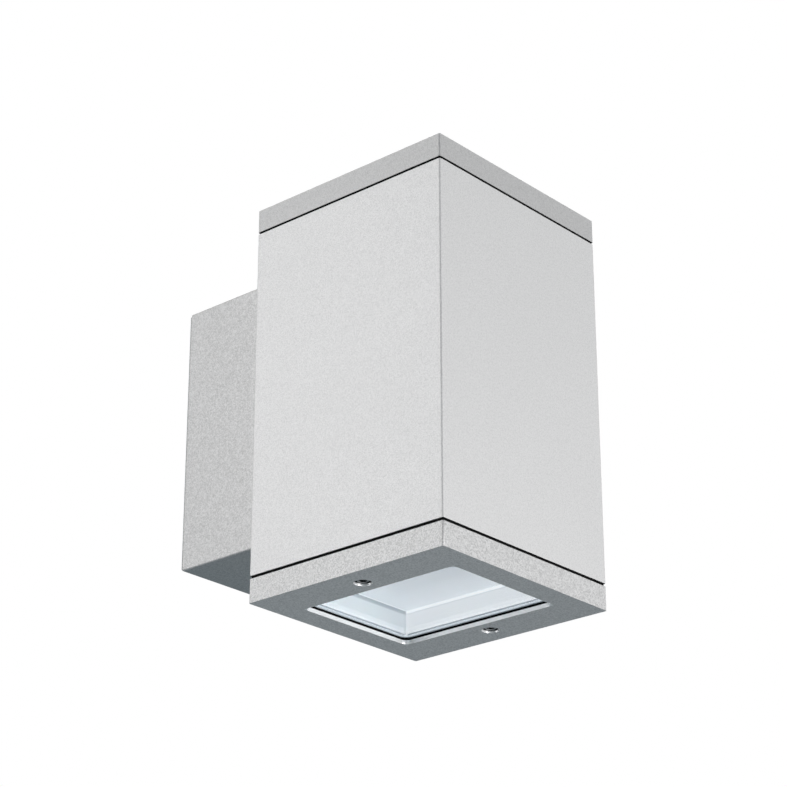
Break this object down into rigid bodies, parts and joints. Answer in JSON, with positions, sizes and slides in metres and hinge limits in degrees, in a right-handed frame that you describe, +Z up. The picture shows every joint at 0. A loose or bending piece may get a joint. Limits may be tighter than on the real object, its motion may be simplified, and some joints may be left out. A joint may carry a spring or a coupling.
{
  "type": "outdoor wall lantern",
  "caption": "Square metal wall lantern that shines downwards through a recessed glass window, carried by a hollow wall box on a steel wall plate.",
  "frame": {"origin": "centre of the wall plate's four screw holes, on the plate's back face, which lies on the wall", "axes": "+Z up, +Y into the wall, so the lantern stands out towards -Y; +X to the right of someone facing the wall"},
  "size_m": [0.1, 0.151, 0.1736],
  "materials": {
    "coated_body": "fine metallic powder coat, silver grey, satin",
    "coated_ends": "coarser metallic powder coat, silver grey, satin",
    "black_rubber": "matt EPDM",
    "foam_seal": "closed-cell foam",
    "window_glass": "clear toughened glass, polished, green-blue edge",
    "opal_plastic": "opal, satin",
    "stainless": "turned stainless steel",
    "zinc_steel": "galvanised sheet",
    "spring_steel": "satin sheet",
    "sheet_aluminium": "mill finish sheet",
    "sink_aluminium": "extruded, natural anodised",
    "brass": "turned brass",
    "grey_nylon": "moulded nylon",
    "white_nylon": "moulded nylon",
    "white_plastic": "moulded polycarbonate",
    "solder_mask": "white solder mask",
    "led_phosphor": "silicone over phosphor",
    "thermal_pad": "soft silicone sheet",
    "wire_brown": "extruded insulation",
    "wire_blue": "extruded insulation",
    "wire_green": "green insulation with a yellow stripe",
    "wire_red": "extruded insulation",
    "wire_black": "extruded insulation"
  },
  "bodies": {
    "wall_mount": {"wall_plate": "zinc_steel"},
    "lantern": {"wall_seal": "foam_seal", "wall_box": "coated_body", "box_gasket": "black_rubber", "box_screws": "stainless", "box_nuts": "stainless", "gland_body": "grey_nylon", "gland_nut": "grey_nylon", "gland_cap": "grey_nylon", "gland_seal": "black_rubber", "terminal_block": "white_nylon", "terminal_clamps": "brass", "terminal_screws": "stainless", "block_screws": "stainless", "earth_screw": "stainless", "earth_lug": "brass", "live_wire": "wire_brown", "neutral_wire": "wire_blue", "earth_wire": "wire_green", "body_tube": "coated_body", "chassis": "sheet_aluminium", "driver_case": "white_plastic", "driver_screws": "stainless", "led_wire_red": "wire_red", "led_wire_black": "wire_black", "heat_sink": "sink_aluminium", "thermal_pad": "thermal_pad", "led_board": "solder_mask", "leds": "led_phosphor", "board_screws": "stainless", "diffuser": "opal_plastic", "diffuser_spacers": "stainless", "diffuser_screws": "stainless"},
    "glass_frame": {"bottom_frame": "coated_ends", "frame_gasket": "black_rubber", "glass_gasket": "black_rubber", "window_glass": "window_glass", "glass_clips": "spring_steel", "clip_screws": "stainless", "screw_retainers": "white_nylon"},
    "top_cover": {"top_cap": "coated_ends", "top_gasket": "black_rubber"},
    "frame_screw_left": {"frame_screw_left": "stainless"},
    "frame_screw_right": {"frame_screw_right": "stainless"},
    "cap_screw_left": {"cap_screw_left": "stainless"},
    "cap_screw_right": {"cap_screw_right": "stainless"},
    "lock_screw_top": {"lock_screw_top": "stainless"},
    "lock_screw_bottom": {"lock_screw_bottom": "stainless"}
  },
  "joints": [
    {"name": "lantern_pull", "type": "slide", "parent": "wall_mount", "child": "lantern", "axis": [0, -1, 0], "range_m": [0, 0.06]},
    {"name": "frame_drop", "type": "slide", "parent": "lantern", "child": "glass_frame", "axis": [0, 0, -1], "range_m": [0, 0.05]},
    {"name": "cap_lift", "type": "slide", "parent": "lantern", "child": "top_cover", "axis": [0, 0, 1], "range_m": [0, 0.05]},
    {"name": "frame_screw_left_turn", "type": "hinge", "parent": "glass_frame", "child": "frame_screw_left", "pos_m": [-0.0385, -0.101, -0.08585], "axis": [0, 0, 1], "continuous": true},
    {"name": "frame_screw_right_turn", "type": "hinge", "parent": "glass_frame", "child": "frame_screw_right", "pos_m": [0.0385, -0.101, -0.08585], "axis": [0, 0, 1], "continuous": true},
    {"name": "cap_screw_left_turn", "type": "hinge", "parent": "top_cover", "child": "cap_screw_left", "pos_m": [-0.0385, -0.101, 0.08585], "axis": [0, 0, 1], "continuous": true},
    {"name": "cap_screw_right_turn", "type": "hinge", "parent": "top_cover", "child": "cap_screw_right", "pos_m": [0.0385, -0.101, 0.08585], "axis": [0, 0, 1], "continuous": true},
    {"name": "lock_screw_top_turn", "type": "hinge", "parent": "lantern", "child": "lock_screw_top", "pos_m": [0, -0.009, 0.0582], "axis": [0, 0, 1], "continuous": true},
    {"name": "lock_screw_bottom_turn", "type": "hinge", "parent": "lantern", "child": "lock_screw_bottom", "pos_m": [0, -0.009, -0.0582], "axis": [0, 0, 1], "continuous": true}
  ]
}
